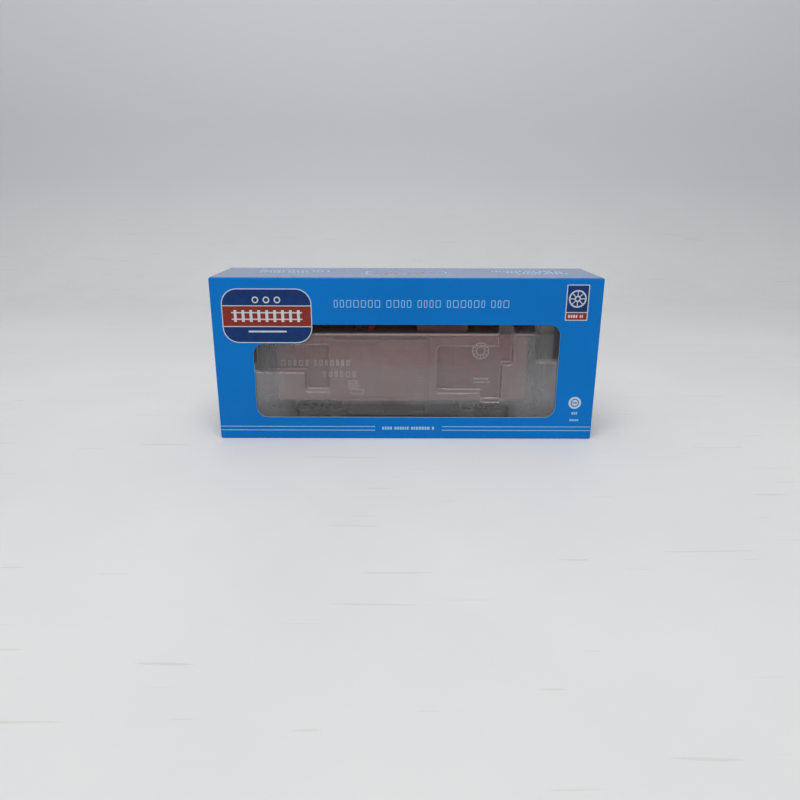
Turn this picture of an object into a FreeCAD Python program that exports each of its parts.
"""A boxed HO scale model caboose, as a parametric FreeCAD document.

A side-door caboose (a boxcar-bodied one, with a cupola and open end platforms) stands inside a clear
two-part blister, and the blister stands inside a windowed card carton with tuck flaps at both ends.

Row frame: +X along the carton, +Y away from the window, +Z up, origin at the centre of the carton's
underside. Lengths are in millimetres. Car measures run from car_x (the car's middle) and rail_z (the
height of the railhead, which is the bottom of the wheel treads).
"""
import FreeCAD, Part
import os
import re

import Sketcher
from FreeCAD import Placement, Rotation, Vector

DOC = FreeCAD.newDocument("boxed_caboose")
SHEET = DOC.addObject("Spreadsheet::Sheet", "dims")
NODES = []

DIMENSIONS = [
    # carton
    ("carton_length", 222.0, "carton, outside, along X"),
    ("carton_depth", 52.0, "carton, outside, along Y"),
    ("carton_height", 96.0, "carton, outside, along Z"),
    ("card", 0.5, "thickness of the card"),
    ("window_half", 88.5, "half the window's length"),
    ("window_bottom", 13.6, "height of the window's lower edge"),
    ("window_top", 69.3, "height of the window's upper edge"),
    ("window_radius", 6.5, "radius of the window's corners"),
    ("tab_right", -62.0, "right edge of the badge tab that hangs into the window"),
    ("tab_bottom", 58.0, "lower edge of the badge tab"),
    ("tab_radius", 4.5, "radius of the badge tab's corners"),
    ("flap_gap", 0.1, "gap between a flap and the panels around it"),
    ("flap_set", 0.1, "end flap's inner face to the dust flaps"),
    ("dust_gap", 0.15, "crease gap at a dust flap"),
    ("tongue_length", 11.0, "length of the end flap's tuck tongue"),
    ("tongue_lean", 1.7, "how far the tongue's tip leans in"),
    ("tongue_corner", 7.0, "cut-away at the tongue's corners"),
    ("dust_length", 24.0, "length of a dust flap"),
    ("dust_taper", 16.0, "taper on a dust flap's back edge"),
    # blister
    ("blister_half", 94.0, "half the blister's length"),
    ("blister_bottom", 3.5, "height of the blister's underside"),
    ("blister_top", 92.5, "height of the blister's top"),
    ("blister_depth", 24.9, "each half's depth from the parting plane"),
    ("film", 0.4, "thickness of the blister's sheet"),
    ("flange", 2.5, "width of the flange round each half"),
    ("pad_plane", 17.8, "outer face of the pads that hold the car's sides"),
    ("upper_plane", 18.6, "outer face of the blister beside the roof"),
    ("upper_start", 63.0, "height at which the face steps back beside the roof"),
    ("shelf_top", 10.85, "height of the underside of the shelves that the wheels stand on"),
    # car body
    ("car_x", -2.5, "the car's middle"),
    ("rail_z", 11.9, "height of the railhead"),
    ("body_length", 148.0, "body over the end walls"),
    ("body_width", 34.0, "body over the side sheets"),
    ("body_bottom", 9.7, "side sill above the rail"),
    ("eave", 49.6, "eave above the rail"),
    ("wall", 1.0, "thickness of the body shell"),
    ("seam_width", 0.8, "width of a sheet seam strip"),
    ("seam_proud", 0.15, "how far a seam strip stands out"),
    ("seam_pitch", 9.6, "spacing of the seam strips"),
    ("plate_proud", 0.2, "how far a window cover plate stands out"),
    ("doorway", 27.0, "width of a side doorway"),
    ("doorway_top", 45.6, "top of a side doorway above the rail"),
    # side doors
    ("door_width", 28.6, "width of a side door"),
    ("door_bottom", 10.6, "underside of a side door above the rail"),
    ("door_top", 46.6, "top of a side door above the rail"),
    ("door_sheet", 0.7, "thickness of a side door"),
    ("door_air", 0.5, "gap between a side door and the body"),
    ("door_travel", 25.5, "how far a side door slides"),
    ("track_reach", 2.0, "how far a door track stands out from the body"),
    # roof
    ("roof_overhang", 8.5, "roof beyond each end wall"),
    ("roof_half", 17.6, "half the roof's width"),
    ("roof_edge", 0.7, "height of the roof's edge"),
    ("roof_rise", 2.6, "rise from the roof's edge to the ridge"),
    ("roof_sheet", 0.9, "thickness of the roof"),
    ("rib_proud", 0.3, "height of a roof rib"),
    ("rib_width", 0.8, "width of a roof rib"),
    ("rib_pitch", 8.8, "spacing of the roof ribs"),
    # cupola
    ("cupola_x", 24.0, "cupola's middle from the car's middle"),
    ("cupola_length", 30.0, "cupola along the car"),
    ("cupola_half", 13.0, "half the cupola's width"),
    ("cupola_top", 59.2, "top of the cupola's walls above the rail"),
    ("cupola_crown", 1.4, "crown of the cupola roof"),
    ("cupola_eave", 1.3, "overhang of the cupola roof"),
    # underframe and platforms
    ("floor_bottom", 11.5, "underside of the floor above the rail"),
    ("floor_sheet", 1.2, "thickness of the floor"),
    ("sill_bottom", 6.9, "underside of the centre sill above the rail"),
    ("platform_length", 8.6, "end platform along the car"),
    ("deck_top", 12.3, "top of an end platform above the rail"),
    ("truck_x", 50.5, "truck centre from the car's middle"),
    # trucks
    ("axle_x", 9.9, "half the truck's wheelbase"),
    ("axle_z", 4.85, "axle height above the rail, the tread radius"),
    ("axle_radius", 0.8, "axle radius"),
    ("bearing_air", 0.05, "running clearance round an axle end"),
    ("frame_in", 11.6, "inner face of a side frame from the car's centreline"),
    ("frame_sheet", 1.6, "thickness of a side frame"),
    ("back_gauge", 7.25, "wheel back face from the centreline"),
    ("flange_radius", 5.45, "wheel flange radius"),
    ("screw_radius", 1.0, "truck screw radius"),
    # couplers
    ("coupler_z", 10.0, "coupler centre above the rail"),
    ("pivot_x", 77.2, "coupler pivot from the car's middle"),
    ("pin_radius", 1.1, "coupler pivot post radius"),
    ("wire", 0.32, "radius of handrail wire"),
]


def fill_sheet():
    """Writes each driving dimension to the sheet: meaning, value, alias."""
    for row, (alias, value, meaning) in enumerate(DIMENSIONS, start=1):
        SHEET.set(f"A{row}", meaning)
        SHEET.set(f"B{row}", str(value))
        SHEET.setAlias(f"B{row}", alias)
    DOC.recompute()


ALIASES = {alias for alias, value, meaning in DIMENSIONS}
CAR = ("car_x", "0", "rail_z")
BOX = ("0", "0", "0")


def ex(text):
    """An expression in the sheet's aliases, in the form that setExpression reads."""
    return re.sub(r"[a-z][a-z_]*", lambda m: f"dims.{m[0]}" if m[0] in ALIASES else m[0], str(text))


def number(text):
    """The value of an expression in the sheet's aliases."""
    return float(SHEET.evalExpression(ex(text)))


def bind(item, **sizes):
    """Binds each named property of an object to its expression."""
    for name, text in sizes.items():
        item.setExpression(name, ex(text))


def place(item, x, y, z, frame=CAR, turn=None):
    """Binds an object's position, measured in one of the two frames."""
    item.Placement = Placement(Vector(), turn or Rotation())
    for axis, offset, text in zip("xyz", frame, (x, y, z)):
        item.setExpression(f"Placement.Base.{axis}", ex(f"({offset}) + ({text})"))
    return item


def block(name, xs, ys, zs, frame=CAR):
    """A box between two values on each axis."""
    item = DOC.addObject("Part::Box", name)
    spans = [f"({high}) - ({low})" for low, high in (xs, ys, zs)]
    bind(item, Length=spans[0], Width=spans[1], Height=spans[2])
    return place(item, xs[0], ys[0], zs[0], frame)


TURNS = {
    "X": Rotation(Vector(0, 1, 0), 90),
    "Y": Rotation(Vector(1, 0, 0), -90),
    "Z": Rotation(),
}


def rod(name, axis, start, length, radius, frame=CAR):
    """A cylinder from a start point along +X, +Y or +Z."""
    item = DOC.addObject("Part::Cylinder", name)
    bind(item, Radius=radius, Height=length)
    return place(item, *start, frame=frame, turn=TURNS[axis])


def cone(name, axis, start, length, radius_start, radius_end, frame=CAR):
    """A cone from a start point along +X, +Y or +Z."""
    item = DOC.addObject("Part::Cone", name)
    bind(item, Radius1=radius_start, Radius2=radius_end, Height=length)
    return place(item, *start, frame=frame, turn=TURNS[axis])


def hoop(name, centre, radius, wire, turn=None, sweep=360.0):
    """A torus, or an arc of one, of round wire."""
    item = DOC.addObject("Part::Torus", name)
    bind(item, Radius1=radius, Radius2=wire)
    item.Angle3 = sweep
    return place(item, *centre, turn=turn)


def fuse(name, parts):
    """One solid from several."""
    item = DOC.addObject("Part::MultiFuse", name)
    item.Shapes = parts
    item.Refine = True
    return item


def cut(name, base, *tools):
    """The base without the tools."""
    item = DOC.addObject("Part::Cut", name)
    item.Base = base
    item.Tool = tools[0] if len(tools) == 1 else fuse(name + "_tools", list(tools))
    item.Refine = True
    return item


def group(name, parts):
    """Several separate solids that share one node."""
    item = DOC.addObject("Part::Compound", name)
    item.Links = parts
    return item


def mirror(name, source, normal, base=("car_x", "0", "0")):
    """The mirror image of an object in a plane through the car's middle."""
    item = DOC.addObject("Part::Mirroring", name)
    item.Source = source
    item.Normal = Vector(*normal)
    for axis, text in zip("xyz", base):
        item.setExpression(f"Base.{axis}", ex(text))
    return item


def half_turn(name, source):
    """The object turned end for end about the vertical line through the car's middle."""
    return mirror(name, mirror(name + "_flip", source, (1, 0, 0)), (0, 1, 0))


def node(label, item):
    """Makes an object a sub-part under its own name."""
    item.Label = label
    NODES.append(item)
    return item


def body(name, x="0", y="0", z="0", frame=BOX):
    """An empty PartDesign body at a bound position."""
    return place(DOC.addObject("PartDesign::Body", name), x, y, z, frame)


def draw(owner, name, plane, outlines):
    """A fully dimensioned sketch on one of the body's own planes.

    An outline is a list of corners (horizontal, vertical). A corner may carry a third entry, the radius of
    an arc to the next corner, positive when the arc bulges to the right of the way round.
    """
    sketch = owner.newObject("Sketcher::SketchObject", name)
    support = [feature for feature in owner.Origin.OriginFeatures if feature.Role == plane + "_Plane"][0]
    sketch.AttachmentSupport = [(support, "")]
    sketch.MapMode = "FlatFace"
    for outline in outlines:
        add_outline(sketch, outline)
    return sketch


def add_outline(sketch, outline):
    """Adds one closed outline and its constraints to a sketch."""
    corners = [Vector(number(c[0]), number(c[1]), 0) for c in outline]
    ends = []
    for here, corner in enumerate(outline):
        start, end = corners[here], corners[(here + 1) % len(corners)]
        if len(corner) == 2:
            index = sketch.addGeometry(Part.LineSegment(start, end), False)
            ends.append((index, 1, 2))
            continue
        radius = number(corner[2])
        chord = end - start
        side = Vector(chord.y, -chord.x, 0).normalize() * (1 if radius > 0 else -1)
        rise = abs(radius) - (radius**2 - (chord.Length / 2) ** 2) ** 0.5
        curve = Part.Arc(start, (start + end) / 2 + side * rise, end)
        index = sketch.addGeometry(curve, False)
        forward = (sketch.getPoint(index, 1) - start).Length < 1e-6
        ends.append((index, 1, 2) if forward else (index, 2, 1))
        k = sketch.addConstraint(Sketcher.Constraint("Radius", index, abs(radius)))
        sketch.setExpression(f"Constraints[{k}]", ex(f"abs({corner[2]})"))
    for here, corner in enumerate(outline):
        index, first, last = ends[here]
        follower, follower_first, follower_last = ends[(here + 1) % len(ends)]
        sketch.addConstraint(Sketcher.Constraint("Coincident", index, last, follower, follower_first))
        for kind, text in (("DistanceX", corner[0]), ("DistanceY", corner[1])):
            k = sketch.addConstraint(Sketcher.Constraint(kind, -1, 1, index, first, number(text)))
            sketch.setExpression(f"Constraints[{k}]", ex(text))


def pad(owner, sketch, length, symmetric=False, back=False):
    """A pad of a sketch, along the plane's normal, both ways, or back."""
    feature = owner.newObject("PartDesign::Pad", sketch.Name + "_pad")
    feature.Profile = sketch
    feature.SideType = "Symmetric" if symmetric else "One side"
    feature.Reversed = back
    bind(feature, Length=length)
    DOC.recompute()
    return feature


def pocket(owner, sketch, length):
    """A pocket of a sketch, cut equally both ways."""
    feature = owner.newObject("PartDesign::Pocket", sketch.Name + "_pocket")
    feature.Profile = sketch
    feature.SideType = "Symmetric"
    bind(feature, Length=length)
    before = feature.BaseFeature.Shape.Volume if feature.BaseFeature else owner.Shape.Volume
    DOC.recompute()
    assert feature.Shape.Volume < before - 1e-6, sketch.Name + " cuts nothing"
    return feature


def plate(name, plane, outlines, thickness, x="0", y="0", z="0", frame=CAR):
    """A body that is one symmetric pad, centred on its plane."""
    owner = body(name, x, y, z, frame)
    pad(owner, draw(owner, name + "_outline", plane, outlines), thickness, symmetric=True)
    return owner


def rectangle(left, bottom, right, top):
    """The four corners of an upright rectangle."""
    return [(left, bottom), (right, bottom), (right, top), (left, top)]


# --- carton -------------------------------------------------------------------------------------------


def round_corners(owner, feature, radius, chosen):
    """Rounds the chosen corners of an opening through the card, by where they stand."""
    corners = [
        f"Edge{i + 1}"
        for i, edge in enumerate(feature.Shape.Edges)
        if abs(edge.Length - number("card")) < 1e-6
        and abs(edge.CenterOfMass.x) < number("window_half") + 1
        and chosen(edge.CenterOfMass)
    ]
    rounding = owner.newObject("PartDesign::Fillet", "round_" + radius)
    rounding.Base = (feature, corners)
    bind(rounding, Radius=radius)
    DOC.recompute()


def carton_panels():
    """The four panels of the folded blank, each up to its creases, with the window in the front one."""
    end, side, top = "carton_length/2", "carton_depth/2", "carton_height"
    front = body("front_panel", y="-carton_depth/2 + card/2")
    outline = draw(front, "front_outline", "XZ", [rectangle(f"-{end}", "0", end, top)])
    pad(front, outline, "card", symmetric=True)
    window = [
        ("-window_half", "window_bottom"),
        ("window_half", "window_bottom"),
        ("window_half", "window_top"),
        ("tab_right", "window_top"),
        ("tab_right", "tab_bottom"),
        ("-window_half", "tab_bottom"),
    ]
    opening = pocket(front, draw(front, "window", "XZ", [window]), "card*3")
    round_corners(front, opening, "window_radius", lambda at: abs(at.x) > number("window_half") - 1)
    round_corners(front, front.Tip, "tab_radius", lambda at: abs(at.x - number("tab_right")) < 0.1)
    node("carton_front_panel", front)
    crease = f"{end} - card - flap_gap"
    node(
        "carton_back_panel",
        block("back_panel", (f"-({crease})", crease), (f"{side} - card", side), ("0", top), BOX),
    )
    for label, low, high in (("top", f"{top} - card", top), ("bottom", "0", "card")):
        span = (f"-({crease})", crease)
        inner = (f"-{side} + card", f"{side} - card")
        node(f"carton_{label}_panel", block(label + "_panel", span, inner, (low, high), BOX))


def end_flap():
    """The right-hand end flap: a closing panel with a tuck tongue that leans in behind the front panel."""
    outer, front = "carton_length/2", "-carton_depth/2 + card + flap_gap"
    back = "carton_depth/2 - flap_gap"
    closing = block(
        "end_flap_panel",
        (f"{outer} - card", outer),
        (front, back),
        ("card + flap_gap", "carton_height - card - flap_gap"),
        BOX,
    )
    lean = [
        (f"{outer} - card/2", front),
        (f"{outer} - card/2", f"{front} + card"),
        (f"{outer} - card - tongue_length", f"{front} + card + tongue_lean"),
        (f"{outer} - card - tongue_length", f"{front} + tongue_lean"),
    ]
    tongue = plate("tongue", "XY", [lean], "carton_height - 2*card - 4", z="carton_height/2", frame=BOX)
    corners = []
    for side, level in (("low", "0"), ("high", "carton_height")):
        sign = 1 if side == "low" else -1
        outline = [
            (f"{outer} - card - tongue_length - 1", f"{level} - {sign}"),
            (f"{outer} - card - tongue_length - 1", f"{level} + {sign}*(tongue_corner + 2)"),
            (f"{outer} - card - 1", f"{level} - {sign}"),
        ]
        if side == "high":
            outline.reverse()
        corners.append(plate("tongue_corner_" + side, "XZ", [outline], "carton_depth + 9", frame=BOX))
    return fuse("end_flap", [closing, cut("tongue_trimmed", tongue, *corners)])


def dust_flap():
    """The right-hand upper dust flap, folded down behind the end flap, tapered so that it can swing out."""
    plane = "carton_length/2 - card - flap_set - card/2"
    hinge = "carton_height - card - dust_gap"
    outline = [
        ("-carton_depth/2 + card + 2.0", hinge),
        ("-carton_depth/2 + card + 3.0", f"{hinge} - dust_length"),
        ("carton_depth/2 - card - dust_taper", f"{hinge} - dust_length"),
        ("carton_depth/2 - card - 0.6", hinge),
    ]
    return plate("dust_flap", "YZ", [outline], "card", x=plane, frame=BOX)


def carton_flaps():
    """Both end flaps and the four dust flaps, from one of each."""
    middle = ("0", "0", "carton_height/2")
    right = node("end_flap_right", end_flap())
    node("end_flap_left", mirror("end_flap_left", right, (1, 0, 0), middle))
    upper = node("dust_flap_right_top", dust_flap())
    lower = node("dust_flap_right_bottom", mirror("dust_low", upper, (0, 0, 1), middle))
    node("dust_flap_left_top", mirror("dust_left_high", upper, (1, 0, 0), middle))
    node("dust_flap_left_bottom", mirror("dust_left_low", lower, (1, 0, 0), middle))


# --- blister ------------------------------------------------------------------------------------------

# Where the sloping shoulder ends, a little above the step that it makes.
SHOULDER_END = "upper_start + blister_depth - upper_plane + 1"
# Steps pressed into the blister's face: low and high x, low and high z, and the plane of the pressed face.
RECESSES = [
    ("-88.2", "-44.9", "40.8", "56.9", "pad_plane"),
    ("-59.4", "-44.9", "29.0", "41.8", "pad_plane"),
    ("17.8", "62.4", "45.6", "56.1", "pad_plane"),
    ("17.8", "56.2", "28.5", "46.6", "pad_plane"),
    ("44.0", "56.2", "23.0", "29.5", "pad_plane"),
    ("-88.2", "-67.3", "55.9", SHOULDER_END, "upper_plane"),
    ("42.0", "62.4", "55.1", SHOULDER_END, "upper_plane"),
    ("75.0", "blister_half + 9", "47.0", SHOULDER_END, "upper_plane"),
    ("-blister_half - 9", "-80.0", "45.0", SHOULDER_END, "upper_plane"),
    ("car_x - truck_x - 16", "car_x - truck_x + 16", "blister_bottom - 9", "shelf_top", "-9"),
    ("car_x + truck_x - 16", "car_x + truck_x + 16", "blister_bottom - 9", "shelf_top", "-9"),
]


def shoulder(name, inset):
    """The room in front of the sloping shoulder and of the set-back face above it."""
    face, upper = f"-blister_depth + {inset}", f"-upper_plane + {inset}"
    foot = f"upper_start + ({inset})*(1 - sqrt(2))"
    outline = [
        ("-blister_depth - 9", foot),
        (face, foot),
        (upper, f"{foot} + blister_depth - upper_plane"),
        (upper, "blister_top + 9"),
        ("-blister_depth - 9", "blister_top + 9"),
    ]
    return plate(name, "YZ", [outline], "2*blister_half + 18", frame=BOX)


def blister_hull(name, inset):
    """The front half as a solid, all its faces moved in by inset."""
    walls = block(
        name + "_walls",
        (f"-blister_half + {inset}", f"blister_half - {inset}"),
        (f"-blister_depth + {inset}", "0"),
        (f"blister_bottom + {inset}", f"blister_top - {inset}"),
        BOX,
    )
    steps = [
        block(
            f"{name}_step_{i}",
            (f"{x_low} - {inset}", f"{x_high} + {inset}"),
            ("-blister_depth - 9", f"-{plane} + {inset}"),
            (f"{z_low} - {inset}", f"{z_high} + {inset}"),
            BOX,
        )
        for i, (x_low, x_high, z_low, z_high, plane) in enumerate(RECESSES)
    ]
    return cut(name, walls, shoulder(name + "_shoulder", inset), *steps)


def blister():
    """Two clear halves that meet at a flange on the parting plane."""
    rim = block(
        "blister_rim",
        ("-blister_half - flange", "blister_half + flange"),
        ("-film", "0"),
        ("blister_bottom - flange", "blister_top + flange"),
        BOX,
    )
    shell = cut("blister_shell", fuse("blister_solid", [blister_hull("outer", "0"), rim]),
                blister_hull("inner", "film"))
    front = node("blister_front", shell)
    node("blister_back", mirror("blister_back", front, (0, 1, 0), BOX))


# --- car body -----------------------------------------------------------------------------------------

HALF_BODY = "body_length/2"
HALF_WIDTH = "body_width/2"
WINDOW_PLATES = (("-24.0", "-16.2"), ("22.5", "30.3"))
PLATE_LOW, PLATE_HIGH = "33.4", "43.0"


def both_sides(name, xs, near, far, zs):
    """A block on the front side and its twin on the back side, from near to far from the centreline."""
    return [
        block(name + "_f", xs, (f"-({far})", f"-({near})"), zs),
        block(name + "_b", xs, (near, far), zs),
    ]


def body_shell():
    """Sides and ends in one moulding, with doorways, sheet seams and covers over the old side windows."""
    outer = block("shell_outer", (f"-{HALF_BODY}", HALF_BODY), (f"-{HALF_WIDTH}", HALF_WIDTH),
                  ("body_bottom", "eave"))
    inner = block("shell_inner", (f"-{HALF_BODY} + wall", f"{HALF_BODY} - wall"),
                  (f"-{HALF_WIDTH} + wall", f"{HALF_WIDTH} - wall"), ("body_bottom - 1", "eave + 1"))
    doorway = block("doorways", ("-doorway/2", "doorway/2"), ("-body_width", "body_width"),
                    ("floor_bottom + floor_sheet", "doorway_top"))
    end_doorway = block("end_doorways", ("-body_length", "body_length"), ("-3.6", "3.6"),
                        ("floor_bottom + floor_sheet", "35.0"))
    trim = []
    for i in range(4):
        middle = f"door_width/2 + 2.4 + {i}*14.2"
        for sign in ("", "-"):
            low = f"{sign}({middle}) - seam_width/2"
            trim += both_sides(f"seam_{i}_{'r' if sign else 'l'}", (low, f"{low} + seam_width"),
                               HALF_WIDTH, f"{HALF_WIDTH} + seam_proud", ("body_bottom", "eave"))
    for i, (low, high) in enumerate(WINDOW_PLATES):
        trim += both_sides(f"cover_{i}", (low, high), HALF_WIDTH, f"{HALF_WIDTH} + plate_proud",
                           (PLATE_LOW, PLATE_HIGH))
    for name, low, high in (("sill", "body_bottom", "body_bottom + 1.6"), ("top_rail", "eave - 1.4", "eave")):
        for side, start, stop in (("l", f"-{HALF_BODY}", "-door_width/2 - door_travel - 1.6"),
                                  ("r", "door_width/2 + 1.6", HALF_BODY)):
            trim += both_sides(f"{name}_{side}", (start, stop), HALF_WIDTH, f"{HALF_WIDTH} + seam_proud",
                               (low, high))
    gable = [
        ("-15.7", "eave - 0.5"),
        ("15.7", "eave - 0.5"),
        ("15.7", "eave"),
        ("0", "eave + roof_edge + roof_rise - roof_sheet - 0.05"),
        ("-15.7", "eave"),
    ]
    for sign in ("", "-"):
        trim.append(plate("gable_" + ("l" if sign else "r"), "YZ", [gable], "wall",
                          x=f"{sign}({HALF_BODY} - wall/2)"))
    shell = cut("shell", outer, inner, doorway, end_doorway)
    return node("body_shell", fuse("body_shell", [shell, *trim]))


def roof_line(height, y="0"):
    """Height above the rail of the roof's top surface at a distance y from the centreline."""
    return f"eave + roof_edge + roof_rise*(1 - ({y})/roof_half) + ({height})"


def roof():
    """A peaked roof over body and platforms, ribbed each side of the cupola."""
    owner = body("roof_deck", frame=CAR)
    under = HALF_WIDTH + " - 1.1"
    section = [
        ("-roof_half", "eave"),
        (f"-({under})", "eave"),
        ("0", "eave + roof_edge + roof_rise - roof_sheet"),
        (under, "eave"),
        ("roof_half", "eave"),
        ("roof_half", "eave + roof_edge"),
        ("0", "eave + roof_edge + roof_rise"),
        ("-roof_half", "eave + roof_edge"),
    ]
    pad(owner, draw(owner, "roof_section", "YZ", [section]), "body_length + 2*roof_overhang", symmetric=True)
    opening = rectangle("cupola_x - cupola_length/2 + wall", "-cupola_half + wall",
                        "cupola_x + cupola_length/2 - wall", "cupola_half - wall")
    pocket(owner, draw(owner, "cupola_opening", "XY", [opening]), "eave*4")
    ribs = []
    for i in range(18):
        low = f"-{HALF_BODY} - roof_overhang + 3.4 + {i}*rib_pitch"
        if abs(number(f"{low} - cupola_x")) < number("cupola_length/2 + 1.5"):
            continue
        ribs.append(roof_rib(i, low))
    return fuse("roof_ribbed", [owner, *ribs])


def roof_rib(i, low):
    """One raised rib across the roof."""
    section = [
        ("-roof_half", "eave + roof_edge - 0.2"),
        ("0", "eave + roof_edge + roof_rise - 0.2"),
        ("roof_half", "eave + roof_edge - 0.2"),
        ("roof_half", "eave + roof_edge + rib_proud"),
        ("0", "eave + roof_edge + roof_rise + rib_proud"),
        ("-roof_half", "eave + roof_edge + rib_proud"),
    ]
    return plate(f"rib_{i}", "YZ", [section], "rib_width", x=f"{low} + rib_width/2")


def cupola():
    """The raised lookout: walls that sit on the slope of the roof, a crowned roof and its glazing."""
    shell = body("cupola", x="cupola_x", frame=CAR)
    ridge, foot = roof_line("0"), roof_line("0", "cupola_half")
    section = [
        ("-cupola_half", foot),
        ("0", ridge),
        ("cupola_half", foot),
        ("cupola_half", "cupola_top"),
        ("-cupola_half", "cupola_top"),
    ]
    pad(shell, draw(shell, "cupola_section", "YZ", [section]), "cupola_length", symmetric=True)
    inside = rectangle("-cupola_length/2 + wall", "-cupola_half + wall",
                       "cupola_length/2 - wall", "cupola_half - wall")
    pocket(shell, draw(shell, "cupola_inside", "XY", [inside]), "cupola_top*3")
    low, high = "cupola_top - 5.0", "cupola_top - 1.2"
    side_windows = [rectangle("-11.4", low, "-1.6", high), rectangle("1.6", low, "11.4", high)]
    pocket(shell, draw(shell, "cupola_side_windows", "XZ", side_windows), "cupola_half*4")
    end_low = "cupola_top - 4.4"
    end_windows = [rectangle("-10.6", end_low, "-1.6", high), rectangle("1.6", end_low, "10.6", high)]
    pocket(shell, draw(shell, "cupola_end_windows", "YZ", end_windows), "cupola_length*3")
    node("cupola_shell", shell)
    edge = "cupola_half + cupola_eave"
    radius = f"(({edge})^2 + cupola_crown^2)/(2*cupola_crown)"
    cap = [
        (f"-({edge})", "cupola_top"),
        (edge, "cupola_top"),
        (edge, "cupola_top + 0.7", radius),
        (f"-({edge})", "cupola_top + 0.7"),
    ]
    node("cupola_roof", plate("cupola_cap", "YZ", [cap], "cupola_length + 2*cupola_eave", x="cupola_x"))
    inner_x, inner_y = "cupola_length/2 - wall", "cupola_half - wall"
    glass_z = ("cupola_top - 5.6", "cupola_top - 0.6")
    panes = []
    for sign in ("", "-"):
        tag = "b" if sign else "a"
        side = sorted((f"{sign}({inner_y})", f"{sign}({inner_y} - 0.4)"), key=number)
        end = sorted((f"cupola_x {sign or '+'} ({inner_x})", f"cupola_x {sign or '+'} ({inner_x} - 0.4)"),
                     key=number)
        along = (f"cupola_x - ({inner_x}) + 0.5", f"cupola_x + ({inner_x}) - 0.5")
        panes.append(block("side_pane_" + tag, along, side, glass_z))
        panes.append(block("end_pane_" + tag, end, (f"-({inner_y}) + 0.6", f"{inner_y} - 0.6"), glass_z))
    node("cupola_glazing", group("cupola_glazing", panes))


def roof_fittings(roof_node):
    """Smokejack, roof ventilator and running boards, each seated on the slope of the roof."""
    seat = f"{roof_line('0', '9')} - 0.5"
    jack = fuse("smokejack_raw", [
        rod("jack_flange", "Z", ("-27.4", "-9.0", seat), "1.3", "2.0"),
        rod("jack_pipe", "Z", ("-27.4", "-9.0", seat), "7.2", "1.25"),
        cone("jack_cap", "Z", ("-27.4", "-9.0", f"{seat} + 6.4"), "1.3", "2.1", "0.7"),
    ])
    vent = fuse("vent_raw", [
        rod("vent_drum", "Z", ("-17.9", "-9.0", seat), "3.0", "2.4"),
        cone("vent_hood", "Z", ("-17.9", "-9.0", f"{seat} + 3.0"), "1.0", "2.9", "1.2"),
    ])
    node("smokejack", cut("smokejack", jack, roof_node))
    node("roof_vent", cut("roof_vent", vent, roof_node))
    boards = []
    board_z = (roof_line("0.75"), roof_line("1.2"))
    saddle_z = (roof_line("-0.5"), roof_line("0.75"))
    ends = {
        "long": (f"-{HALF_BODY} - roof_overhang", "cupola_x - cupola_length/2 - cupola_eave - 0.2", 7),
        "short": ("cupola_x + cupola_length/2 + cupola_eave + 0.2", f"{HALF_BODY} + roof_overhang", 4),
    }
    for name, (low, high, saddles) in ends.items():
        parts = [block("board_" + name, (low, high), ("-2.3", "2.3"), board_z)]
        for i in range(saddles):
            at = f"{low} + 2 + {i}*(({high}) - ({low}) - 4)/{saddles - 1}"
            along = (f"{at} - 0.5", f"{at} + 0.5")
            parts.append(block(f"saddle_{name}_{i}", along, ("-1.9", "1.9"), saddle_z))
        boards.append(cut("walk_" + name, fuse("walk_raw_" + name, parts), roof_node))
    node("roof_walks", group("roof_walks", boards))


def side_doors(shell):
    """A ribbed sliding door on each side, hung between tracks that are notched for the sheet seams."""
    near = f"{HALF_WIDTH} + door_air"
    far = f"{near} + door_sheet"
    parts = [block("door_sheet_part", ("-door_width/2", "door_width/2"), (f"-({far})", f"-({near})"),
                   ("door_bottom", "door_top"))]
    for i in range(3):
        level = f"door_bottom + 5.4 + {i}*9.2"
        parts.append(block(f"door_rib_{i}", ("-door_width/2 + 1.2", "door_width/2 - 1.2"),
                           (f"-({far}) - 0.25", f"-({far})"), (level, f"{level} + 6.4")))
    front = node("side_door_front", fuse("side_door_front", parts))
    node("side_door_back", mirror("side_door_back", front, (0, 1, 0)))
    reach = f"{HALF_WIDTH} + track_reach"
    lip = f"{reach} - 0.5"
    span = ("-door_width/2 - door_travel - 0.6", "door_width/2 + 0.6")
    tracks = []
    for name, shelf, lip_z in (
        ("upper", ("door_top + 0.3", "door_top + 0.8"), ("door_top - 1.2", "door_top + 0.8")),
        ("lower", ("door_bottom - 0.8", "door_bottom - 0.3"), ("door_bottom - 0.8", "door_bottom + 0.8")),
    ):
        shelves = both_sides(name + "_shelf", span, HALF_WIDTH, reach, shelf)
        lips = both_sides(name + "_lip", span, lip, reach, lip_z)
        for i, pair in enumerate(zip(shelves, lips)):
            tracks.append(cut(f"{name}_track_{i}", fuse(f"{name}_rail_{i}", list(pair)), shell))
    node("door_tracks", group("door_tracks", tracks))


def end_doors():
    """A glazed door behind the doorway at each end, fitted from inside."""
    outer = f"{HALF_BODY} - wall"
    leaf = block("end_door_leaf", (f"{outer} - 0.8", outer), ("-4.5", "4.5"),
                 ("floor_bottom + floor_sheet", "36.4"))
    light = block("end_door_light", (f"{outer} - 2", f"{outer} + 1"), ("-2.1", "2.1"), ("24.5", "32.0"))
    door = cut("end_door", leaf, light)
    node("end_doors", group("end_doors", [door, mirror("end_door_far", door, (1, 0, 0))]))
    pane = block("end_pane", (f"{outer} - 1.2", f"{outer} - 0.8"), ("-3.0", "3.0"), ("23.6", "32.9"))
    node("end_door_glazing", group("end_door_glazing", [pane, mirror("end_pane_far", pane, (1, 0, 0))]))


# --- underframe ---------------------------------------------------------------------------------------


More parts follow.
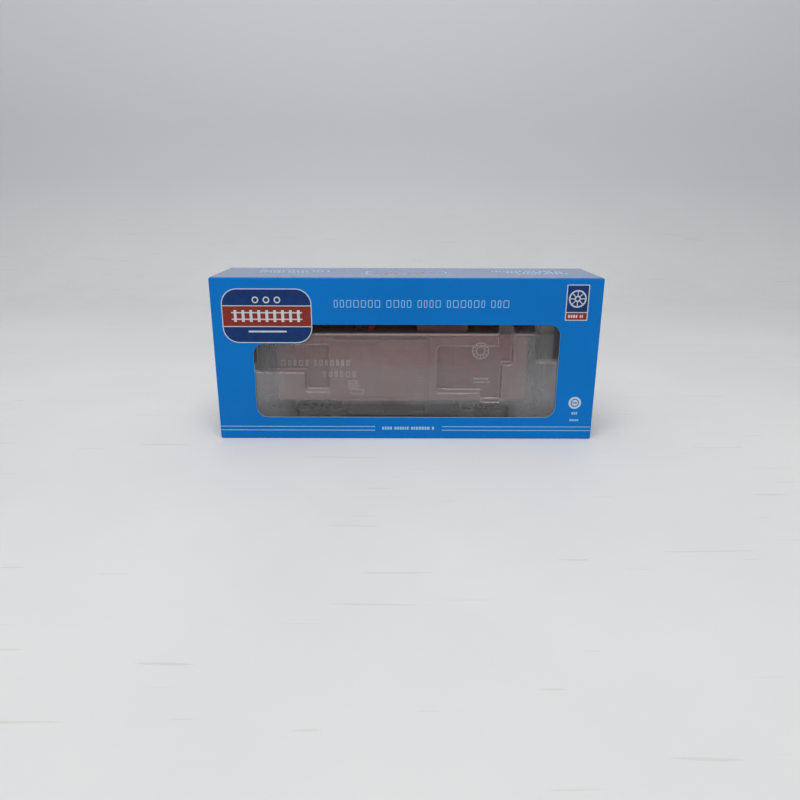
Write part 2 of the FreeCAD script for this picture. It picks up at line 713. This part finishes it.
def underframe():
    """Floor, centre sill, bolsters and cross members in one moulding, with a steel weight on the floor."""
    floor_top = "floor_bottom + floor_sheet"
    floor = block("floor", (f"-{HALF_BODY} + wall", f"{HALF_BODY} - wall"),
                  (f"-{HALF_WIDTH} + wall", f"{HALF_WIDTH} - wall"), ("floor_bottom", floor_top))
    parts = [floor, block("centre_sill", ("-truck_x + 4", "truck_x - 4"), ("-2.4", "2.4"),
                          ("sill_bottom", "floor_bottom"))]
    holes = []
    for side in ("-", ""):
        tag = "l" if side else "r"
        at = f"{side}truck_x"
        parts.append(block("bolster_" + tag, (f"{at} - 2.2", f"{at} + 2.2"), ("-13", "13"),
                           ("floor_bottom - 1.0", "floor_bottom")))
        depth = "floor_bottom - sill_bottom"
        parts.append(rod("boss_" + tag, "Z", (at, "0", "sill_bottom"), depth, "3.2"))
        mouth = (at, "0", "sill_bottom - 1")
        holes.append(rod("boss_hole_" + tag, "Z", mouth, depth + " + 1", "screw_radius"))
    for i, at in enumerate(("-36", "-7", "7", "36")):
        parts.append(block(f"cross_member_{i}", (f"{at} - 0.7", f"{at} + 0.7"), ("-15", "15"),
                           ("floor_bottom - 1.6", "floor_bottom")))
    node("underframe", cut("underframe", fuse("underframe_solid", parts), *holes))
    node("ballast_weight", block("weight", ("-59", "59"), ("-11", "11"), (floor_top, f"{floor_top} + 1.8")))


def hung_gear():
    """Tool box, battery box, air reservoir and brake cylinder, hung under the floor between the trucks."""
    top = "floor_bottom - 1.6"
    for label, x, half, lean in (("tool_box", "-21.8", "11.4", "2.4"), ("battery_box", "23.3", "9.9", "1.6")):
        slope = [(f"-{half}", "-9.0"), (half, "-9.0"), (f"{half} - {lean}", "0"), (f"-{half} + {lean}", "0")]
        chest = plate(label + "_chest", "XZ", [slope], "10.4", x=x, y="-9.9", z=top)
        hangers = [block(f"{label}_hanger_{i}", (f"{x} + {dx} - 0.4", f"{x} + {dx} + 0.4"), ("-14.6", "-5.2"),
                         (f"{top} - 0.5", "floor_bottom")) for i, dx in enumerate(("-6", "6"))]
        node(label, fuse(label, [chest, *hangers]))
    drum = rod("drum", "X", ("14.0", "8.5", "7.4"), "19.0", "2.9")
    straps = [block(f"strap_{i}", (x, f"{x} + 0.8"), ("8.1", "8.9"), ("9.6", "floor_bottom"))
              for i, x in enumerate(("17.5", "28.5"))]
    node("air_reservoir", fuse("air_reservoir", [drum, *straps]))
    cylinder = fuse("brake_cylinder", [
        rod("cylinder_drum", "X", ("-30.0", "8.5", "8.2"), "8.5", "2.5"),
        cone("cylinder_nose", "X", ("-21.5", "8.5", "8.2"), "2.4", "2.2", "0.9"),
        rod("cylinder_rod", "X", ("-19.1", "8.5", "8.2"), "9.0", "0.4"),
        block("cylinder_bracket", ("-28.0", "-24.0"), ("7.7", "9.3"), ("9.8", "floor_bottom")),
    ])
    node("brake_cylinder", cylinder)


# --- end platforms ------------------------------------------------------------------------------------


def platform():
    """The right-hand end platform: deck, end sill and two flights of steps."""
    inner, outer = HALF_BODY, f"{HALF_BODY} + platform_length"
    deck = block("deck", (inner, outer), ("-15.9", "15.9"), ("floor_bottom", "deck_top"))
    parts = [deck]
    for sign, tag in (("", "a"), ("-", "b")):
        sill = sorted((f"{sign}4.4", f"{sign}15.9"), key=number)
        parts.append(block("end_sill_" + tag, (f"{outer} - 1.2", outer), sill, ("8.3", "floor_bottom")))
        tread = sorted((f"{sign}11.6", f"{sign}15.9"), key=number)
        for i, level in enumerate(("3.9", "7.6")):
            parts.append(block(f"tread_{tag}_{i}", (f"{inner} + 0.6", f"{outer} - 1.4"), tread,
                               (level, f"{level} + 0.5")))
        for i, x in enumerate((f"{inner} + 0.6", f"{outer} - 1.9")):
            parts.append(block(f"string_{tag}_{i}", (x, f"{x} + 0.5"), tread, ("3.9", "floor_bottom")))
    return fuse("end_platform_right", parts)


def railing():
    """The right-hand end railing: corner posts up to the roof and railed gates beside the gangway."""
    x = f"{HALF_BODY} + platform_length - 0.8"
    parts = []
    for sign, tag in ((1, "a"), (-1, "b")):
        foot = (x, f"{15.1 * sign}", "deck_top")
        parts.append(rod("corner_post_" + tag, "Z", foot, "eave - deck_top", "wire + 0.1"))
        parts.append(rod("gate_post_" + tag, "Z", (x, f"{4.2 * sign}", "deck_top"), "11.0", "wire"))
        start = "4.2" if sign > 0 else "-15.1"
        for i, level in enumerate(("deck_top + 10.4", "deck_top + 5.6")):
            parts.append(rod(f"rail_{tag}_{i}", "Y", (x, start, level), "10.9", "wire - 0.04"))
        for i in range(3):
            y = sign * (6.9 + 2.7 * i)
            parts.append(rod(f"baluster_{tag}_{i}", "Z", (x, f"{y}", "deck_top"), "10.4", "wire - 0.08"))
    halves = [fuse("railing_" + tag, [p for p in parts if f"_{tag}" in p.Name]) for tag in "ab"]
    return halves


def ladder():
    """The right-hand end ladder: two stiles that bend over the roof, and their rungs."""
    x = f"{HALF_BODY} + platform_length + wire"
    bend = "1.8"
    top = roof_line("1.2")
    parts = []
    for tag, y in (("a", "-11.4"), ("b", "-6.4")):
        foot = roof_line("0.06", y.strip("-"))
        parts.append(rod("stile_" + tag, "Z", (x, y, "deck_top - 2.4"), f"{top} - deck_top + 2.4", "wire"))
        quarter = Rotation(Vector(1, 0, 0), 90)
        parts.append(hoop("stile_bend_" + tag, (f"{x} - {bend}", y, top), bend, "wire", quarter, 90.0))
        inboard = f"{x} - {bend} - 3.4"
        crest = f"{top} + {bend}"
        parts.append(rod("stile_hand_" + tag, "X", (inboard, y, crest), "3.4", "wire"))
        parts.append(rod("stile_foot_" + tag, "Z", (inboard, y, foot), f"{crest} - ({foot})", "wire + 0.03"))
    for i in range(9):
        parts.append(rod(f"rung_{i}", "Y", (x, "-11.4", f"deck_top + 3.2 + {i}*4.4"), "5.0", "wire - 0.05"))
    return fuse("end_ladder", parts)


def brake_wheel():
    """The right-hand hand brake: a spoked wheel on a vertical staff that turns with it."""
    x, y, top = f"{HALF_BODY} + 4.4", "-8.0", "deck_top + 12.4"
    parts = [
        hoop("brake_rim", (x, y, top), "2.7", "0.35"),
        rod("brake_staff", "Z", (x, y, "deck_top + 0.05"), "12.9", "0.4"),
        rod("brake_hub", "Z", (x, y, f"{top} - 0.4"), "0.9", "0.8"),
        rod("brake_spoke_x", "X", (f"{x} - 2.6", y, top), "5.2", "0.25"),
        rod("brake_spoke_y", "Y", (x, f"{y} - 2.6", top), "5.2", "0.25"),
    ]
    return fuse("brake_wheel_right", parts)


def end_fittings():
    """Platforms, railings, ladders, brake wheels, grab irons and marker lamps."""
    right = node("end_platform_right", platform())
    node("end_platform_left", half_turn("end_platform_left", right))
    rails = railing()
    node("end_railings", group("end_railings", rails + [half_turn(f"{r.Name}_far", r) for r in rails]))
    steps = ladder()
    node("end_ladders", group("end_ladders", [steps, half_turn("end_ladder_far", steps)]))
    wheel = node("brake_wheel_right", brake_wheel())
    node("brake_wheel_left", half_turn("brake_wheel_left", wheel))
    irons = []
    for i, x in enumerate(("-70.4", "70.4")):
        for j, sign in enumerate((-1, 1)):
            out = f"{HALF_WIDTH} + 0.42"
            y = f"{'-' if sign < 0 else ''}({out})"
            bar = rod(f"iron_{i}{j}", "Z", (x, y, "deck_top + 3"), "11.0", "0.22")
            start = f"-({out})" if sign < 0 else HALF_WIDTH
            pegs = [rod(f"peg_{i}{j}{k}", "Y", (x, start, f"deck_top + {z}"), f"{out} - {HALF_WIDTH}", "0.2")
                    for k, z in enumerate(("3.4", "13.6"))]
            irons.append(fuse(f"grab_iron_{i}{j}", [bar, *pegs]))
    node("grab_irons", group("grab_irons", irons))
    lamps, lenses = [], []
    for i, sign in enumerate((-1, 1)):
        y = f"{sign * 14.2}"
        lamps.append(fuse(f"lamp_{i}", [
            block(f"lamp_bracket_{i}", (HALF_BODY, f"{HALF_BODY} + 1.6"), (f"{y} - 0.3", f"{y} + 0.3"),
                  ("36.6", "37.3")),
            rod(f"lamp_body_{i}", "Z", (f"{HALF_BODY} + 2.2", y, "36.4"), "2.8", "1.2"),
            cone(f"lamp_top_{i}", "Z", (f"{HALF_BODY} + 2.2", y, "39.2"), "0.8", "1.2", "0.5"),
        ]))
        lenses.append(rod(f"lens_{i}", "X", (f"{HALF_BODY} + 3.4", y, "37.7"), "0.35", "0.75"))
    lamps += [half_turn(f"lamp_far_{i}", lamp) for i, lamp in enumerate(lamps)]
    lenses += [half_turn(f"lens_far_{i}", lens) for i, lens in enumerate(lenses)]
    node("marker_lamps", group("marker_lamps", lamps))
    node("marker_lenses", group("marker_lenses", lenses))


# --- trucks -------------------------------------------------------------------------------------------


def side_frame(name):
    """One cast side frame of the right-hand truck, on the back side, with journal boxes and leaf spring."""
    half = [("4.6", "8.4"), ("8.4", "7.3"), ("12.2", "7.3"), ("13.6", "6.4"), ("13.6", "3.3"),
            ("12.5", "2.6"), ("9.2", "2.6"), ("8.0", "3.8"), ("4.8", "1.5")]
    outline = half + [("-" + x, z) for x, z in reversed(half)]
    lights = [
        [("3.7", "2.9"), ("7.1", "4.5"), ("6.9", "6.0"), ("3.7", "6.9")],
        [("-3.7", "6.9"), ("-6.9", "6.0"), ("-7.1", "4.5"), ("-3.7", "2.9")],
        rectangle("-2.7", "2.9", "2.7", "6.6"),
    ]
    middle = "frame_in + frame_sheet/2"
    casting = plate(name + "_casting", "XZ", [outline], "frame_sheet", x="truck_x", y=middle)
    cuts = [plate(f"{name}_light_{i}", "XZ", [light], "frame_sheet*3", x="truck_x", y=middle)
            for i, light in enumerate(lights)]
    parts = [cut(name + "_open", casting, *cuts)]
    outer = "frame_in + frame_sheet"
    for sign, tag in (("+", "a"), ("-", "b")):
        x = f"truck_x {sign} axle_x"
        parts.append(block(f"{name}_journal_{tag}", (f"{x} - 1.8", f"{x} + 1.8"), (outer, f"{outer} + 0.8"),
                           ("3.0", "6.9")))
        parts.append(block(f"{name}_lid_{tag}", (f"{x} - 1.3", f"{x} + 1.3"),
                           (f"{outer} + 0.8", f"{outer} + 1.1"), ("3.4", "6.2")))
    for i in range(4):
        reach = f"2.7 - {i}*0.35"
        parts.append(block(f"{name}_leaf_{i}", (f"truck_x - ({reach})", f"truck_x + ({reach})"),
                           (f"{outer} - 1.2", f"{outer} + 0.3"), (f"5.9 - {i}*0.75", f"6.5 - {i}*0.75")))
    parts.append(block(f"{name}_buckle", ("truck_x - 0.6", "truck_x + 0.6"),
                       (f"{outer} - 1.3", f"{outer} + 0.5"), ("2.8", "6.7")))
    return fuse(name, parts)


def truck_frame():
    """The right-hand truck: two side frames joined by a bolster, bored for the axles and the screw."""
    back = side_frame("side_frame")
    front = mirror("side_frame_front", back, (0, 1, 0))
    bolster = block("truck_bolster", ("truck_x - 2.2", "truck_x + 2.2"),
                    ("-frame_in - 0.4", "frame_in + 0.4"), ("4.4", "6.4"))
    plate_up = rod("centre_plate", "Z", ("truck_x", "0", "5.0"), "sill_bottom - 5.1", "3.4")
    holes = [rod("screw_way", "Z", ("truck_x", "0", "0"), "20", "screw_radius + 0.35"),
             rod("screw_recess", "Z", ("truck_x", "0", "3.0"), "1.6", "2.4")]
    for sign, tag in (("+", "a"), ("-", "b")):
        x = f"truck_x {sign} axle_x"
        holes.append(rod("axle_way_" + tag, "Y", (x, "-frame_in - 1.25", "axle_z"), "2*frame_in + 2.5",
                         "axle_radius + bearing_air"))
    return cut("truck_frame_right", fuse("truck_casting", [back, front, bolster, plate_up]), *holes)


def wheel_pair(tag, x):
    """Two wheels with flange, tread, dished plate and hub, revolved about the axle."""
    wheel = body("wheel_" + tag, x, "0", "axle_z", CAR)
    back = "back_gauge"
    section = [
        (back, "axle_radius"),
        (f"{back} + 2.9", "axle_radius"),
        (f"{back} + 2.9", "1.7"),
        (f"{back} + 1.7", "1.9"),
        (f"{back} + 1.3", "3.7"),
        (f"{back} + 2.75", "3.95"),
        (f"{back} + 2.75", "axle_z - 0.08"),
        (f"{back} + 0.95", "axle_z"),
        (f"{back} + 0.6", "flange_radius - 0.12"),
        (f"{back} + 0.3", "flange_radius"),
        (back, "flange_radius - 0.25"),
    ]
    turned = wheel.newObject("PartDesign::Revolution", "wheel_turned_" + tag)
    sketch = draw(wheel, "wheel_section_" + tag, "YZ", [section])
    turned.Profile = sketch
    turned.ReferenceAxis = (sketch, ["H_Axis"])
    turned.Angle = 360.0
    wheel.Tip = turned
    DOC.recompute()
    return group("wheels_" + tag, [wheel, mirror("wheel_far_" + tag, wheel, (0, 1, 0))])


def axle(tag, x):
    """A plain axle with pointed ends."""
    shaft = rod("shaft_" + tag, "Y", (x, "-frame_in - 0.2", "axle_z"), "2*frame_in + 0.4", "axle_radius")
    near = cone("point_" + tag, "Y", (x, "frame_in + 0.2", "axle_z"), "0.9", "axle_radius", "0.1")
    return fuse("axle_" + tag, [shaft, near, mirror("point_far_" + tag, near, (0, 1, 0))])


def trucks():
    """Both trucks with their wheelsets and centre screws."""
    right = node("truck_frame_right", truck_frame())
    node("truck_frame_left", half_turn("truck_frame_left", right))
    for count, (side, x) in enumerate((
        ("left", "-truck_x - axle_x"), ("left", "-truck_x + axle_x"),
        ("right", "truck_x - axle_x"), ("right", "truck_x + axle_x"),
    ), start=1):
        node(f"axle_{count}", axle(str(count), x))
        node(f"wheels_{count}", wheel_pair(str(count), x))
    screw = fuse("truck_screw", [
        rod("screw_shank", "Z", ("truck_x", "0", "4.2"), "floor_bottom - 4.5", "screw_radius"),
        rod("screw_head", "Z", ("truck_x", "0", "3.4"), "0.9", "1.9"),
    ])
    slot = block("screw_slot", ("truck_x - 2", "truck_x + 2"), ("-0.25", "0.25"), ("3.2", "3.8"))
    slotted = cut("truck_screw_slotted", screw, slot)
    node("truck_screws", group("truck_screws", [slotted, mirror("truck_screw_far", slotted, (1, 0, 0))]))


# --- couplers -----------------------------------------------------------------------------------------


def coupler_box():
    """The right-hand draft box under the platform, open outwards, with the coupler's pivot post in it."""
    low, high = "coupler_z - 1.5", "coupler_z + 1.5"
    start, mouth = f"{HALF_BODY} + 0.2", f"{HALF_BODY} + platform_length - 0.1"
    outer = block("draft_outer", (start, mouth), ("-3.9", "3.9"), (low, high))
    inner = block("draft_inner", (f"{start} + 0.7", f"{mouth} + 1"), ("-3.1", "3.1"),
                  (f"{low} + 0.6", f"{high} - 0.6"))
    post = rod("draft_post", "Z", ("pivot_x", "0", low), "3.0", "pin_radius")
    return fuse("coupler_box_right", [cut("draft_shell", outer, inner), post])


def coupler():
    """The right-hand coupler: eye, shank and head with lugs for the knuckle and a guard arm."""
    eye = rod("coupler_eye", "Z", ("pivot_x", "0", "coupler_z - 0.65"), "1.3", "2.1")
    shank = block("shank", ("pivot_x + 1", "pivot_x + 7.4"), ("-0.85", "0.85"),
                  ("coupler_z - 0.65", "coupler_z + 0.65"))
    head = [
        ("6.6", "-1.0"), ("7.8", "-2.3"), ("10.2", "-3.1"), ("10.9", "-2.7"), ("8.6", "-1.3"),
        ("8.5", "2.6"), ("7.4", "2.6"), ("6.6", "1.0"),
    ]
    parts = [eye, shank, plate("coupler_head", "XY", [head], "2.6", x="pivot_x", z="coupler_z")]
    for tag, low in (("low", "coupler_z - 1.3"), ("high", "coupler_z + 0.9")):
        parts.append(block("lug_" + tag, ("pivot_x + 8.2", "pivot_x + 10.2"), ("1.1", "2.6"),
                           (low, f"{low} + 0.4")))
    parts.append(rod("knuckle_pin", "Z", ("pivot_x + 9.6", "1.9", "coupler_z - 1.3"), "2.6", "0.3"))
    eye_hole = rod("coupler_eye_hole", "Z", ("pivot_x", "0", "coupler_z - 2"), "4", "pin_radius + 0.08")
    return cut("coupler_right", fuse("coupler_solid", parts), eye_hole)


def knuckle():
    """The right-hand coupler's hook, which swings open about its pin."""
    outline = [("9.05", "1.15"), ("10.3", "1.15"), ("11.0", "0.4"), ("10.95", "-0.9"), ("11.7", "-1.1"),
               ("12.1", "0.6"), ("11.5", "2.1"), ("10.4", "2.6"), ("9.4", "2.6"), ("9.05", "2.0")]
    solid = plate("knuckle_solid", "XY", [outline], "1.7", x="pivot_x", z="coupler_z")
    hole = rod("knuckle_hole", "Z", ("pivot_x + 9.6", "1.9", "coupler_z - 2"), "4", "0.37")
    return cut("knuckle_right", solid, hole)


def trip_pin():
    """The right-hand coupler's bent wire, which stands for the air hose."""
    x, bend = "pivot_x + 8.0", "1.6"
    bent = hoop("trip_bend", (f"{x} + {bend}", "-1.2", "coupler_z - 5.6"), bend, "0.3",
                Rotation(Vector(1, 0, 0), -90) * Rotation(Vector(0, 0, 1), 90), 90.0)
    return fuse("trip_pin_right", [
        rod("trip_drop", "Z", (x, "-1.2", "coupler_z - 5.6"), "4.3", "0.3"),
        bent,
    ])


def couplers():
    """Both couplers, end for end, with their draft boxes and the screws that hold those."""
    for label, maker in (("coupler_box", coupler_box), ("coupler", coupler), ("knuckle", knuckle),
                         ("trip_pin", trip_pin)):
        right = node(label + "_right", maker())
        node(label + "_left", half_turn(label + "_left", right))


def check_and_write():
    """Stops on any failed object, then writes each sub-part to parts/."""
    failed = [o.Name for o in DOC.Objects if {"Invalid", "Error"} & set(o.State)]
    assert not failed, f"failed objects: {failed}"
    os.makedirs("parts", exist_ok=True)
    bad = [o.Label for o in NODES if o.Shape.isNull() or not o.Shape.isValid() or not o.Shape.Solids]
    assert not bad, f"bad shapes: {bad}"
    for item in NODES:
        item.Shape.exportStep(f"parts/{item.Label}.step")
    print(len(NODES), "sub-parts")


fill_sheet()
carton_panels()
carton_flaps()
blister()
SHELL = body_shell()
ROOF = node("roof", roof())
cupola()
roof_fittings(ROOF)
side_doors(SHELL)
end_doors()
underframe()
hung_gear()
end_fittings()
trucks()
couplers()
DOC.recompute()
check_and_write()
